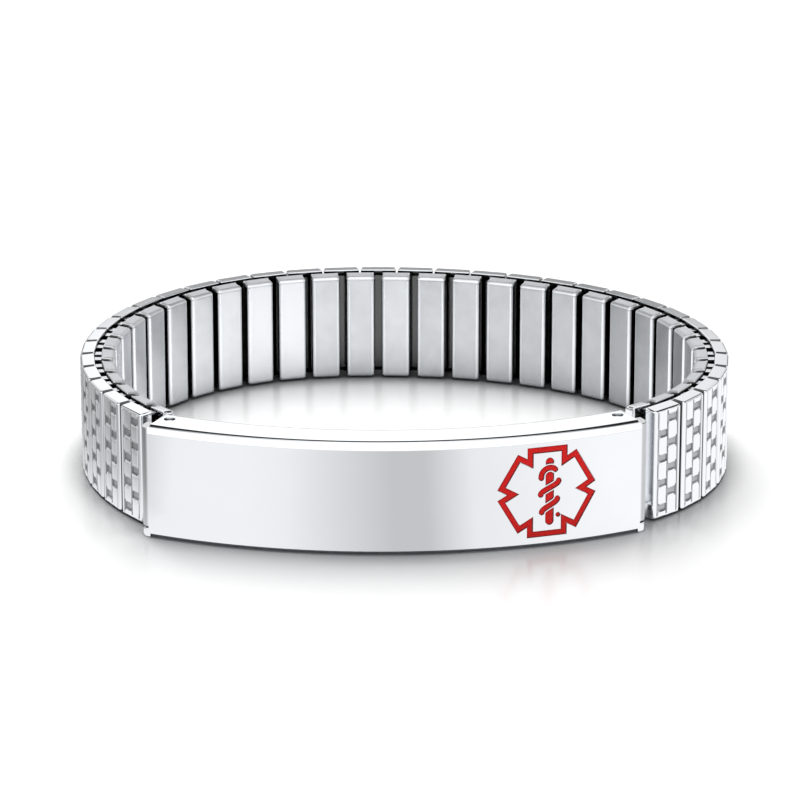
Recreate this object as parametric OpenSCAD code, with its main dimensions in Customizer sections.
// Expansion bracelet with a curved identity plate, in millimetres.
// Z is up and the loop's axis is vertical: the bracelet rests on the lower edges of its links.
// The origin is on the floor, under the middle of the bracelet's outline. The plate faces -Y.

/* [Band] */
// Height of the band, from the floor to the upper edges of the outer links
band_h = 12; // [9:0.1:16]
// Number of outer links
link_count = 34; // [30:1:38]
// Distance from one outer link to the next, along their middle line
link_pitch = 4.15; // [3.8:0.01:4.6]
// Gap between neighbouring outer links
link_gap = 0.25; // [0.15:0.01:0.5]
// Depth of an outer link, from its face to its back
outer_d = 1.5; // [1.4:0.01:2]
// Radius of the two long edges of an outer link's face
outer_r = 0.36; // [0.2:0.01:0.5]
// Width of an inner link
inner_w = 3.15; // [2.9:0.01:3.4]
// Depth of an inner link
inner_d = 1.45; // [1.2:0.01:1.8]
// Radius of the two long edges of an inner link's face
inner_r = 0.32; // [0.1:0.01:0.5]
// How much lower than the outer links the inner links start and end
inner_inset = 0.05; // [0.05:0.01:0.3]
// Clear space between the outer and the inner links
row_gap = 0.8; // [0.6:0.01:1.4]

/* [Sheet] */
// Sheet that the outer links are folded from
outer_sheet = 0.25; // [0.2:0.01:0.3]
// Sheet that the inner links are folded from
inner_sheet = 0.2; // [0.15:0.01:0.25]
// Thickness of an outer link's embossed face with the sleeve behind it
face_t = 0.55; // [0.45:0.01:0.65]

/* [Bows] */
// Width of a connecting bow
bow_w = 0.8; // [0.5:0.01:0.9]
// Thickness of a bow's bridge, between the two rows
bow_t = 0.22; // [0.15:0.01:0.3]
// Thickness of a bow's legs, inside the links
leg_t = 0.25; // [0.15:0.01:0.35]
// Length of a bow's legs
leg_l = 3; // [1.5:0.1:4]
// Clear space between a bow and the folded edges above it and beside it
bow_clear = 0.1; // [0.05:0.01:0.2]

/* [Weave on the outer links] */
// Number of grooves in each of the two columns
weave_rows = 4; // [3:1:5]
// Height of the lowest groove's middle above the link's end
weave_start = 1.2; // [1:0.05:1.5]
// How far one column lags behind the other, as a share of the groove spacing
weave_lag = 0.57; // [0.4:0.01:0.7]
// Height of a groove
groove_h = 0.8; // [0.5:0.01:1]
// Depth of a groove
groove_d = 0.22; // [0.1:0.01:0.28]
// Width of the plain strip along each long edge of the face
edge_strip = 0.45; // [0.38:0.01:0.6]
// Width of the channel down the middle of the face
channel_w = 0.2; // [0.1:0.01:0.4]
// Depth of the channel down the middle
channel_d = 0.12; // [0.05:0.01:0.2]

/* [Plate] */
// Width of the plate, straight across from end to end
plate_w = 51.8; // [44:0.1:56]
// Radius of the plate's curved front
plate_r = 57; // [45:0.5:80]
// Depth of the plate, from its front to the free edges of its flanges
plate_d = 4.3; // [4:0.05:5]
// Thickness of the plate's front and of its flanges
plate_t = 0.9; // [0.6:0.05:1.1]
// Chamfer along the front edges
plate_chamfer = 0.7; // [0.3:0.05:0.85]
// Radius of the plate's two upright front corners
corner_r = 1; // [0.9:0.05:1.3]
// How far each end is turned back from the front
wrap_d = 1.9; // [1.5:0.05:2]
// Height of the relief slit between the turned end and the lower flange
relief_h = 0.35; // [0.2:0.05:0.8]

/* [Hinges] */
// Diameter of a hinge pin
pin_d = 0.76; // [0.5:0.01:1]
// Diameter of the pin's holes in the flanges
pin_hole_d = 1.2; // [1.05:0.01:1.4]
// Distance of a pin from the plate's end
pin_inset = 2.1; // [2:0.05:3]
// Distance of a pin from the free edges of the flanges
pin_back = 1.25; // [1.1:0.05:1.5]
// How far a pin's ends lie below the flanges' surfaces
pin_sink = 0.15; // [0.05:0.01:0.4]
// Wall of the knuckle round a pin
knuckle_t = 0.32; // [0.2:0.01:0.4]
// Clearance of a pin in its knuckle
pin_clear = 0.06; // [0.03:0.01:0.1]
// Thickness of the strap from the knuckle to the end link
strap_t = 0.6; // [0.4:0.05:0.8]
// Width of an end link
end_w = 2.4; // [2.1:0.05:2.6]
// Clear space between the flanges and the knuckle
knuckle_clear = 0.2; // [0.1:0.05:0.5]

/* [Emblem] */
// Distance of the emblem's middle from the plate's right end
emblem_inset = 10.6; // [9:0.1:18]
// Length of each of the star's three bars
star_l = 9.6; // [6:0.1:10]
// Width of each bar
star_w = 4.2; // [3:0.1:5]
// Width of the star's red outline
outline_w = 0.6; // [0.3:0.05:0.8]
// Distance of the staff from the middle of the star
staff_x = 0.25; // [-0.5:0.05:0.5]
// Width of the staff
staff_w = 0.85; // [0.5:0.05:1.1]
// Length of the staff
staff_l = 7.2; // [5:0.1:7.4]
// Width of the serpent's body
serpent_w = 0.58; // [0.4:0.02:0.62]
// How far the serpent's widest crossing swings out from the staff
serpent_swing = 0.95; // [0.7:0.05:1.1]
// Height over which the serpent crosses the staff
coil_drop = 1.35; // [1.2:0.05:1.5]
// Clear metal between the serpent and the staff
serpent_clear = 0.16; // [0.1:0.01:0.25]
// Depth of the engraving
engrave_d = 0.22; // [0.1:0.01:0.4]
// How far the enamel lies below the plate's front
enamel_sink = 0.05; // [0.02:0.01:0.1]
// Clearance round the enamel
enamel_clear = 0.03; // [0.02:0.01:0.05]

/* [Hidden] */
$fn = 48;
fine = 200;
eps = 0.01;
blend = 0.02;

// Where the band's middle line starts and ends, from the rear corners of the plate
start_offset = [2.12, -0.55];
end_offset = [-1.13, -0.08];
// How sharply the band bends along its length, from its start to its end, as shares of the mean
bend_share = [[0, 1.40], [0.125, 1.21], [0.25, 1.09], [0.375, 0.77], [0.5, 0.57],
              [0.625, 1.11], [0.75, 1.03], [0.875, 0.99], [1, 0.84]];
// The serpent's crossings: height as a share of the staff's length, swing as a share of the widest
coils = [[0.055, 1], [-0.21, 0.87]];
// The serpent's head curls over the staff's left side: height of the curl's middle as a share of the
// staff's length, its angles from the right end to the head, and its width as a share of its height
curl_height = 0.22;
curl_from = 50;
curl_to = 185;
curl_share = 0.95;
// Radius of the tail's tip as a share of the serpent's width, and its height as a share of the staff's
tail_share = 0.42;
tail_height = -0.36;
// Points along a coil, and along the round end of one
coil_steps = 12;
cap_points = 5;
// First guess for the band's heading at its start and for its whole turn, in degrees
first_guess = [42, 262];

outer_w = link_pitch - link_gap;
row_d = outer_d / 2 + row_gap + inner_d / 2;
inner_h = band_h - 2 * inner_inset;
bow_top = band_h - outer_sheet - bow_clear;
notch_low = bow_top - bow_t - bow_clear;
bow_outer_x = outer_w / 2 - outer_sheet - bow_clear - bow_w / 2;
bow_inner_x = inner_w / 2 - inner_sheet - bow_clear - bow_w / 2;
weave_pitch = (band_h - 2 * weave_start) / (weave_rows - 1 + weave_lag);

emblem_x = plate_w / 2 - emblem_inset;
plate_a = asin(plate_w / 2 / plate_r);
pin_a = plate_a - pin_inset / plate_r * 180 / PI;
pin_rad = plate_r - plate_d + pin_back;
knuckle_r = pin_d / 2 + pin_clear + knuckle_t;
knuckle_h = band_h - 2 * plate_t - 2 * knuckle_clear;

// A point at radius r and angle a from the front, in a frame whose origin is the plate's front
function on_arc(r, a) = [r * sin(a), plate_r - r * cos(a)];
function rear_corner(side) = on_arc(plate_r - plate_d, side * plate_a);
function sum(v, i = 0) = i == len(v) ? 0 : v[i] + sum(v, i + 1);
function sum_pairs(v) = [sum([for (p = v) p.x]), sum([for (p = v) p.y])];

band_start = rear_corner(1) + start_offset;
band_end = rear_corner(-1) + end_offset;

// The turn at each joint is its share of the whole turn; turned[i] is the share before link i
bends = [for (i = [1:link_count - 1]) lookup(i / link_count, bend_share)];
all_bends = sum(bends);
turned = [for (i = 0, t = 0; i < link_count;
               t = t + (i < link_count - 1 ? bends[i] / all_bends : 0), i = i + 1) t];
function headings(guess) = [for (t = turned) guess[0] + guess[1] * t];

// Newton's method on the start heading and the whole turn closes the band onto the plate
function closed(guess, steps = 12) =
    steps == 0 ? guess :
    let (h = headings(guess),
         miss = band_start - band_end + link_pitch * sum_pairs([for (a = h) [cos(a), sin(a)]]),
         unit = link_pitch * PI / 180,
         by_start = unit * sum_pairs([for (a = h) [-sin(a), cos(a)]]),
         by_turn = unit * sum_pairs([for (i = [0:link_count - 1]) turned[i] * [-sin(h[i]), cos(h[i])]]),
         det = by_start.x * by_turn.y - by_start.y * by_turn.x)
    closed(guess - [(miss.x * by_turn.y - miss.y * by_turn.x) / det,
                    (by_start.x * miss.y - by_start.y * miss.x) / det], steps - 1);
solved = closed(first_guess);
heading = headings(solved);

function way(a) = [cos(a), sin(a)];
function outward(a) = [sin(a), -cos(a)];
joints = [for (i = 0, p = band_start; i <= link_count;
               p = p + (i < link_count ? link_pitch * way(heading[i]) : [0, 0]), i = i + 1) p];
function outer_place(i) = (joints[i] + joints[i + 1]) / 2;
half_bend_start = solved[1] * bends[0] / all_bends / 2;
half_bend_end = solved[1] * bends[link_count - 2] / all_bends / 2;
function inner_heading(j) =
    j == 0 ? heading[0] - half_bend_start :
    j == link_count ? heading[link_count - 1] + half_bend_end :
    (heading[j - 1] + heading[j]) / 2;
function inner_place(j) = joints[j] - outward(inner_heading(j)) * row_d;

// The outline's box, from the centres of the outer links' rounded edges
edge_spots = [for (i = [0:link_count - 1], s = [-1, 1])
    outer_place(i) + s * (outer_w / 2 - outer_r) * way(heading[i])
        + (outer_d / 2 - outer_r) * outward(heading[i])];
low_x = min([for (p = edge_spots) p.x]) - outer_r;
high_x = max([for (p = edge_spots) p.x]) + outer_r;
high_y = max([for (p = edge_spots) p.y]) + outer_r;
middle = [(low_x + high_x) / 2, high_y / 2];

function two_digits(i) = str(i < 10 ? "0" : "", i);
function outer_name(i) = str("outer_link_", two_digits(i + 1));

// Puts a piece at a place of the band, with +X along the band and -Y outward
module stand(place, turn) {
    translate([place.x - middle.x, place.y - middle.y, 0]) rotate(turn) children();
}

// Puts a piece in the plate's frame, or at an angle of its arc with +X outward
module in_plate() {
    translate([-middle.x, -middle.y, 0]) children();
}
module at_arc(a) {
    in_plate() translate([0, plate_r, 0]) rotate(a - 90) children();
}

// A box from x0 to x1 whose two long edges at y0 are round
module edged_box(x0, x1, y0, y1, h, r) {
    translate([x0, y0 + r, 0]) cube([x1 - x0, y1 - y0 - r, h]);
    translate([x0 + r, y0, 0]) cube([x1 - x0 - 2 * r, y1 - y0, h]);
    for (x = [x0 + r, x1 - r]) translate([x, y0 + r, 0]) cylinder(r = r, h = h);
}

// One groove of the weave, open to the channel and round at its outer end
module groove(side, z) {
    straight = outer_w / 2 - edge_strip - groove_h / 2;
    translate([0, groove_d - outer_d / 2, z]) rotate([90, 0, 0]) linear_extrude(groove_d + eps) {
        translate([side > 0 ? 0 : -straight, -groove_h / 2]) square([straight, groove_h]);
        translate([side * straight, 0]) circle(d = groove_h);
    }
}

// A folded outer link: embossed face, lips above and below, hollow for the legs of its four bows
module outer_link(i) {
    hollow_w = outer_w - 2 * outer_sheet;
    hollow_y = -outer_d / 2 + face_t;
    color("silver") stand(outer_place(i), heading[i]) difference() {
        edged_box(-outer_w / 2, outer_w / 2, -outer_d / 2, outer_d / 2, band_h, outer_r);
        translate([-hollow_w / 2, hollow_y, outer_sheet])
            cube([hollow_w, outer_d / 2 - outer_sheet - hollow_y, band_h - 2 * outer_sheet]);
        for (z = [outer_sheet, notch_low])
            translate([-hollow_w / 2, hollow_y, z])
                cube([hollow_w, outer_d, band_h - outer_sheet - notch_low]);
        for (k = [0:weave_rows - 1]) {
            groove(-1, weave_start + k * weave_pitch);
            groove(1, band_h - weave_start - k * weave_pitch);
        }
        translate([-channel_w / 2, -outer_d / 2 - eps, weave_start - groove_h / 2])
            cube([channel_w, channel_d + eps, band_h - 2 * weave_start + groove_h]);
    }
}

// A folded inner link from x0 to x1, whose round edges face the wrist and whose back takes the bows
module inner_link_body(x0, x1) {
    difference() {
        translate([0, 0, inner_inset]) rotate(180)
            edged_box(-x1, -x0, -inner_d / 2, inner_d / 2, inner_h, inner_r);
        translate([x0 + inner_sheet, -inner_d / 2 + inner_sheet, inner_inset + inner_sheet])
            cube([x1 - x0 - 2 * inner_sheet, inner_d - 2 * inner_sheet, inner_h - 2 * inner_sheet]);
        for (z = [inner_inset + inner_sheet, notch_low])
            translate([x0 + inner_sheet, -inner_d, z])
                cube([x1 - x0 - 2 * inner_sheet, inner_d, band_h - inner_inset - inner_sheet - notch_low]);
    }
}

module inner_links() {
    color("gainsboro") for (j = [1:link_count - 1])
        stand(inner_place(j), inner_heading(j)) inner_link_body(-inner_w / 2, inner_w / 2);
}

// One bow: a bridge across the gap and a leg down into each link; upper is 1 or -1
module bow(i, side, upper) {
    j = side > 0 ? i + 1 : i;
    leg_y = (face_t - outer_sheet) / 2;
    from = outer_place(i) + side * bow_outer_x * way(heading[i]) - leg_y * outward(heading[i]);
    to = inner_place(j) - side * bow_inner_x * way(inner_heading(j));
    run = to - from;
    length = norm(run);
    z_bridge = upper > 0 ? bow_top - bow_t : band_h - bow_top;
    z_leg = upper > 0 ? bow_top - leg_l : band_h - bow_top;
    stand(from, atan2(run.y, run.x)) {
        translate([-leg_t / 2, -bow_w / 2, z_bridge]) cube([length + leg_t, bow_w, bow_t]);
        for (x = [0, length]) translate([x - leg_t / 2, -bow_w / 2, z_leg]) cube([leg_t, bow_w, leg_l]);
    }
}

module bows(upper) {
    color("lightgray") for (i = [0:link_count - 1], side = [-1, 1]) bow(i, side, upper);
}

// The link at one end of the band, with a strap to the knuckle round its hinge pin
module end_link(side) {
    j = side > 0 ? 0 : link_count;
    place = inner_place(j);
    turn = inner_heading(j);
    body_x = side * (inner_w - end_w) / 2;
    body_place = place + body_x * way(turn);
    pin = on_arc(pin_rad, side * pin_a);
    run = body_place - pin;
    z_knuckle = (band_h - knuckle_h) / 2;
    color("silver") difference() {
        union() {
            stand(place, turn) inner_link_body(body_x - end_w / 2, body_x + end_w / 2);
            stand(pin, atan2(run.y, run.x)) translate([0, -strap_t / 2, z_knuckle])
                cube([norm(run) - inner_d / 2 + inner_sheet, strap_t, knuckle_h]);
            stand(pin, 0) translate([0, 0, z_knuckle]) cylinder(r = knuckle_r, h = knuckle_h);
        }
        stand(pin, 0) cylinder(d = pin_d + 2 * pin_clear, h = band_h);
    }
}

module hinge_pin(side) {
    color("silver") at_arc(side * pin_a) translate([pin_rad, 0, pin_sink])
        cylinder(d = pin_d, h = band_h - 2 * pin_sink);
}

// The star of three crossed bars; grow widens a figure's edges
module star(grow) {
    for (a = [0, 60, 120]) rotate(a) square([star_w + 2 * grow, star_l + 2 * grow], center = true);
}

module star_outline(grow) {
    difference() {
        star(grow);
        star(-outline_w - grow);
    }
}

// Points of a half circle of radius r round p, whose middle lies along angle a
function cap(p, a, r) =
    [for (k = [1:cap_points]) let (b = a + 90 - 180 * k / (cap_points + 1)) p + r * [cos(b), sin(b)]];

// A round-ended strip of width w along a list of points
function strip(path, w) =
    let (n = len(path) - 1,
         a = [for (i = [0:n]) let (d = path[min(i + 1, n)] - path[max(i - 1, 0)]) atan2(d.y, d.x)])
    concat([for (i = [0:n]) path[i] + w / 2 * [-sin(a[i]), cos(a[i])]], cap(path[n], a[n], w / 2),
           [for (i = [n:-1:0]) path[i] - w / 2 * [-sin(a[i]), cos(a[i])]], cap(path[0], a[0] + 180, w / 2));

// One crossing of the serpent in front of the staff: half a swing from the right down to the left
function coil_path(z, swing) =
    [for (k = [0:coil_steps]) let (share = k / coil_steps)
        [staff_x + swing * cos(180 * share), z + coil_drop * (0.5 - share)]];

// The serpent's head, an arc of an ellipse over the staff and down its left side
function curl_path() =
    [for (k = [0:coil_steps]) let (a = curl_from + (curl_to - curl_from) * k / coil_steps)
        [staff_x + serpent_swing * curl_share * cos(a), curl_height * staff_l + serpent_swing * sin(a)]];

// The serpent's crossings with its head above them, and its tail's tip beside the staff's foot
module serpent(grow) {
    w = serpent_w + 2 * grow;
    for (c = coils) polygon(strip(coil_path(c[0] * staff_l, c[1] * serpent_swing), w));
    polygon(strip(curl_path(), w));
    translate([staff_x + staff_w / 2 + 1.5 * serpent_clear + serpent_w * tail_share, staff_l * tail_height])
        circle(r = serpent_w * tail_share + grow);
}

// The round-ended staff shows where the serpent doesn't cross it
module staff(grow) {
    difference() {
        translate([staff_x, 0]) {
            square([staff_w + 2 * grow, staff_l - staff_w], center = true);
            for (side = [-1, 1])
                translate([0, side * (staff_l - staff_w) / 2]) circle(d = staff_w + 2 * grow);
        }
        serpent(serpent_clear - grow);
    }
}

module figure(grow) {
    star_outline(grow);
    serpent(grow);
    staff(grow);
}

// The figure carried through the plate's front, between two radii of its arc; spread is half the
// angle of the arc that it is cut from, half as wide again as the star
module figure_in_arc(grow, r0, r1) {
    a = asin(emblem_x / plate_r);
    spread = 1.5 * asin(norm([star_l, star_w]) / 2 / plate_r);
    intersection() {
        at_arc(a) translate([0, 0, band_h / 2]) rotate([90, 0, 90])
            linear_extrude(2 * plate_r) figure(grow);
        at_arc(a - spread) rotate_extrude(angle = 2 * spread, $fn = fine)
            translate([r0, 0]) square([r1 - r0, band_h]);
    }
}

module emblem_enamel() {
    color("crimson")
        figure_in_arc(0, plate_r - engrave_d + enamel_clear, plate_r - enamel_sink);
}

// What is cut off one end: all past the end's plane, and the front corner outside its round, which
// stands proud of both faces by blend
module plate_cut(side) {
    at_arc(side * plate_a) mirror([0, side > 0 ? 0 : 1, 0]) {
        translate([-eps, 0, -eps]) cube([2 * plate_r, plate_d, band_h + 2 * eps]);
        translate([plate_r - corner_r, -corner_r, -eps]) difference() {
            cube([2 * corner_r, 2 * corner_r, band_h + 2 * eps]);
            translate([0, 0, -eps]) cylinder(r = corner_r + blend, h = band_h + 4 * eps);
        }
        translate([plate_r - wrap_d - eps, -corner_r, plate_t]) cube([2 * wrap_d, 2 * corner_r, relief_h]);
    }
}

// The wall that turns back from the front at one end, before its end is cut
module plate_wall(side) {
    at_arc(side * plate_a) mirror([0, side > 0 ? 0 : 1, 0])
        translate([plate_r - wrap_d, -plate_t, plate_t / 2])
            cube([wrap_d - plate_t / 2, 2 * plate_t, band_h - plate_t]);
}

module id_plate() {
    back = plate_r - plate_d;
    web = plate_r - plate_t;
    channel = [[plate_r - plate_chamfer, 0], [plate_r, plate_chamfer], [plate_r, band_h - plate_chamfer],
               [plate_r - plate_chamfer, band_h], [back, band_h], [back, band_h - plate_t],
               [web, band_h - plate_t], [web, plate_t], [back, plate_t], [back, 0]];
    whole_a = plate_a + asin(plate_t / plate_r);
    color("whitesmoke") difference() {
        union() {
            at_arc(-whole_a) rotate_extrude(angle = 2 * whole_a, $fn = fine) polygon(channel);
            for (side = [-1, 1]) plate_wall(side);
        }
        for (side = [-1, 1]) {
            plate_cut(side);
            at_arc(side * pin_a) translate([pin_rad, 0, -eps])
                cylinder(d = pin_hole_d, h = band_h + 2 * eps);
        }
        figure_in_arc(enamel_clear, plate_r - engrave_d, plate_r + engrave_d);
    }
}

id_plate();
emblem_enamel();
hinge_pin(1);  // hinge_pin_right
hinge_pin(-1);  // hinge_pin_left
end_link(1);  // end_link_right
end_link(-1);  // end_link_left
inner_links();
bows(1);  // upper_bows
bows(-1);  // lower_bows
for (i = [0:link_count - 1]) outer_link(i);
